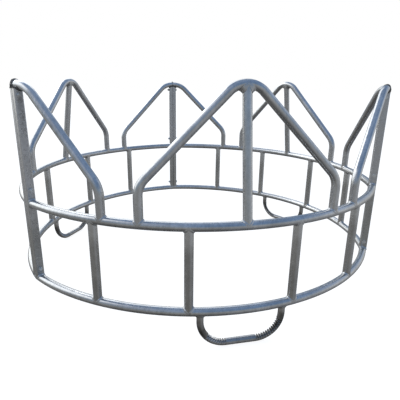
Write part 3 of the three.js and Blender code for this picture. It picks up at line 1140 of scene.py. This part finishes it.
def build_fasteners():
    bolt_shape, nut_shape = bolt(), nut()
    across = Matrix.Rotation(math.pi / 2, 4, "Y")
    for joint, degrees in JOINTS.items():
        for height, z in BOLT_HEIGHTS.items():
            placing = turned_about_ring(degrees) @ Matrix.Translation((0, -JOINT_RADIUS, z)) @ across
            node = f"{joint}_joint_{height}"
            head_end = Matrix.Translation((0, 0, -GRIP / 2 - GAP - HEAD_HEIGHT))
            nut_end = Matrix.Translation((0, 0, GRIP / 2 + GAP))
            piece(
                f"{node}_bolt_m12", bolt_shape, placing @ head_end, FASTENER_ZINC,
                f"{node}_bolt", sharp=FASTENER_SHARP,
            )
            piece(
                f"{node}_nut_m12", nut_shape, placing @ nut_end, FASTENER_ZINC,
                f"{node}_nut", sharp=FASTENER_SHARP,
            )


# ---- studio ----

CAMERA_PLACE = (-0.540, -2.564, 1.202)
CAMERA_DOWN = math.radians(17.137)
CAMERA_RIGHT = math.radians(12.600)
CAMERA_ROLL = math.radians(0.816)
CAMERA_LENS = 34.11
CAMERA_SENSOR = 36.0
CAMERA_REACH = 200


def build_camera():
    data = bpy.data.cameras.new("camera")
    data.sensor_fit = "HORIZONTAL"
    data.sensor_width = CAMERA_SENSOR
    data.lens = CAMERA_LENS
    data.clip_end = CAMERA_REACH
    camera = bpy.data.objects.new("camera", data)
    bpy.context.scene.collection.objects.link(camera)
    camera.matrix_world = (
        Matrix.Translation(CAMERA_PLACE)
        @ Matrix.Rotation(-CAMERA_RIGHT, 4, "Z")
        @ Matrix.Rotation(math.pi / 2 - CAMERA_DOWN, 4, "X")
        @ Matrix.Rotation(CAMERA_ROLL, 4, "Z")
    )
    bpy.context.scene.camera = camera


SOFTBOX_PLACE = Vector((-4.0, 4.6, 5.6))
SOFTBOX_TARGET = Vector((0, 0, 0.6))
SOFTBOX_SIDE = 3.0
SOFTBOX_WATTS = 60

FLOOR_HALF_SIDE = 60.0
FLOOR_COLOUR = (0.30, 0.30, 0.30)
FLOOR_GLOW = 0.90

# Light from each height of the surroundings: sine of the height, then colour
DOME = [
    (-1.00, (0.090, 0.090, 0.090)),
    (-0.64, (0.165, 0.165, 0.163)),
    (-0.42, (0.260, 0.263, 0.265)),
    (-0.25, (0.300, 0.305, 0.310)),
    (-0.03, (0.310, 0.325, 0.335)),
    (0.05, (0.310, 0.345, 0.380)),
    (0.20, (0.270, 0.340, 0.430)),
    (0.42, (0.195, 0.290, 0.450)),
    (0.75, (0.175, 0.275, 0.460)),
    (1.00, (0.280, 0.380, 0.560)),
]
NO_FOOT = (-1.10, -1.05)
NO_TOP = (1.10, 1.05)
# Bright parts of the dome: direction of the middle, colour, cosines at the outer edge and where it is
# full, and sines of the heights between which it starts at its foot and ends at its top
GLOWS = [
    ((-0.50, 0.58, 0.64), (1.38, 1.36, 1.28), (0.46, 0.86), (-0.15, 0.10), (0.86, 0.72)),
    ((-0.78, -0.45, 0.45), (0.21, 0.17, 0.11), (0.66, 0.96), (0.20, 0.45), NO_TOP),
    ((0.97, 0.12, 0.12), (0.30, 0.29, 0.28), (0.70, 0.98), (-0.35, -0.05), NO_TOP),
    ((0.72, -0.52, -0.45), (0.07, 0.08, 0.10), (0.55, 0.95), NO_FOOT, NO_TOP),
]


def build_dome():
    """A soft dome, bright on one side, and plain white where the camera looks past everything."""
    world = bpy.data.worlds.new("dome")
    world.use_nodes = True
    bpy.context.scene.world = world
    world.node_tree.nodes.clear()
    n = Nodes(world.node_tree)

    def eased(value, low, high):
        """From 0 to 1 with soft ends, or from 1 to 0 where low is the higher."""
        return n.span(value, low, high, 0, 1, interpolation_type="SMOOTHSTEP")

    direction = n.add("ShaderNodeTexCoord", {}).outputs["Generated"]
    height = n.add("ShaderNodeSeparateXYZ", {"Vector": direction}).outputs["Z"]
    ramp = n.add("ShaderNodeValToRGB", {"Fac": n.span(height, -1, 1, 0, 1)})
    stops = ramp.color_ramp.elements
    while len(stops) < len(DOME):
        stops.new(0.5)
    for stop, (sine, colour) in zip(stops, DOME):
        stop.position = (sine + 1) / 2
        stop.color = (*colour, 1)

    light = ramp.outputs["Color"]
    for towards, colour, edges, foot, top in GLOWS:
        towards = Vector(towards).normalized()
        facing = n.add("ShaderNodeVectorMath", {0: direction, 1: towards}, operation="DOT_PRODUCT")
        by_height = n.maths("MULTIPLY", eased(height, *foot), eased(height, *top))
        share = n.maths("MULTIPLY", eased(facing.outputs["Value"], *edges), by_height)
        glow = n.add("ShaderNodeVectorMath", {0: colour, "Scale": share}, operation="SCALE")
        total = n.add("ShaderNodeVectorMath", {0: light, 1: glow.outputs["Vector"]}, operation="ADD")
        light = total.outputs["Vector"]

    soft = n.add("ShaderNodeBackground", {"Color": light}).outputs["Background"]
    seen = n.add("ShaderNodeBackground", {"Color": (1, 1, 1)}).outputs["Background"]
    to_camera = n.add("ShaderNodeLightPath", {}).outputs["Is Camera Ray"]
    chooser = n.add("ShaderNodeMixShader", {"Fac": to_camera, 1: soft, 2: seen})
    n.add("ShaderNodeOutputWorld", {"Surface": chooser.outputs["Shader"]})


def build_floor():
    """A pale floor that the steel doesn't mirror."""
    mesh = bpy.data.meshes.new("floor")
    corners = [(-1, -1, 0), (1, -1, 0), (1, 1, 0), (-1, 1, 0)]
    mesh.from_pydata([Vector(corner) * FLOOR_HALF_SIDE for corner in corners], [], [(0, 1, 2, 3)])
    floor = bpy.data.objects.new("floor", mesh)
    bpy.context.scene.collection.objects.link(floor)
    material, n, shader = material_nodes("pale_floor")
    n.feed(shader.inputs["Base Color"], FLOOR_COLOUR)
    n.feed(shader.inputs["Roughness"], 1.0)
    n.feed(shader.inputs["Specular IOR Level"], 0.0)
    n.feed(shader.inputs["Emission Color"], (1, 1, 1))
    n.feed(shader.inputs["Emission Strength"], FLOOR_GLOW)
    mesh.materials.append(material)
    floor.visible_glossy = False
    floor.visible_diffuse = False


def build_softbox():
    """One large lamp, high up behind the ring on the left."""
    data = bpy.data.lights.new("softbox", "AREA")
    data.shape = "SQUARE"
    data.size = SOFTBOX_SIDE
    data.energy = SOFTBOX_WATTS
    softbox = bpy.data.objects.new("softbox", data)
    bpy.context.scene.collection.objects.link(softbox)
    aim = (SOFTBOX_TARGET - SOFTBOX_PLACE).to_track_quat("-Z", "Y")
    softbox.matrix_world = Matrix.Translation(SOFTBOX_PLACE) @ aim.to_matrix().to_4x4()


def build_studio():
    build_camera()
    build_dome()
    build_floor()
    build_softbox()
    bpy.context.scene.view_settings.view_transform = "Standard"


build_studio()
build_sections()
build_fasteners()
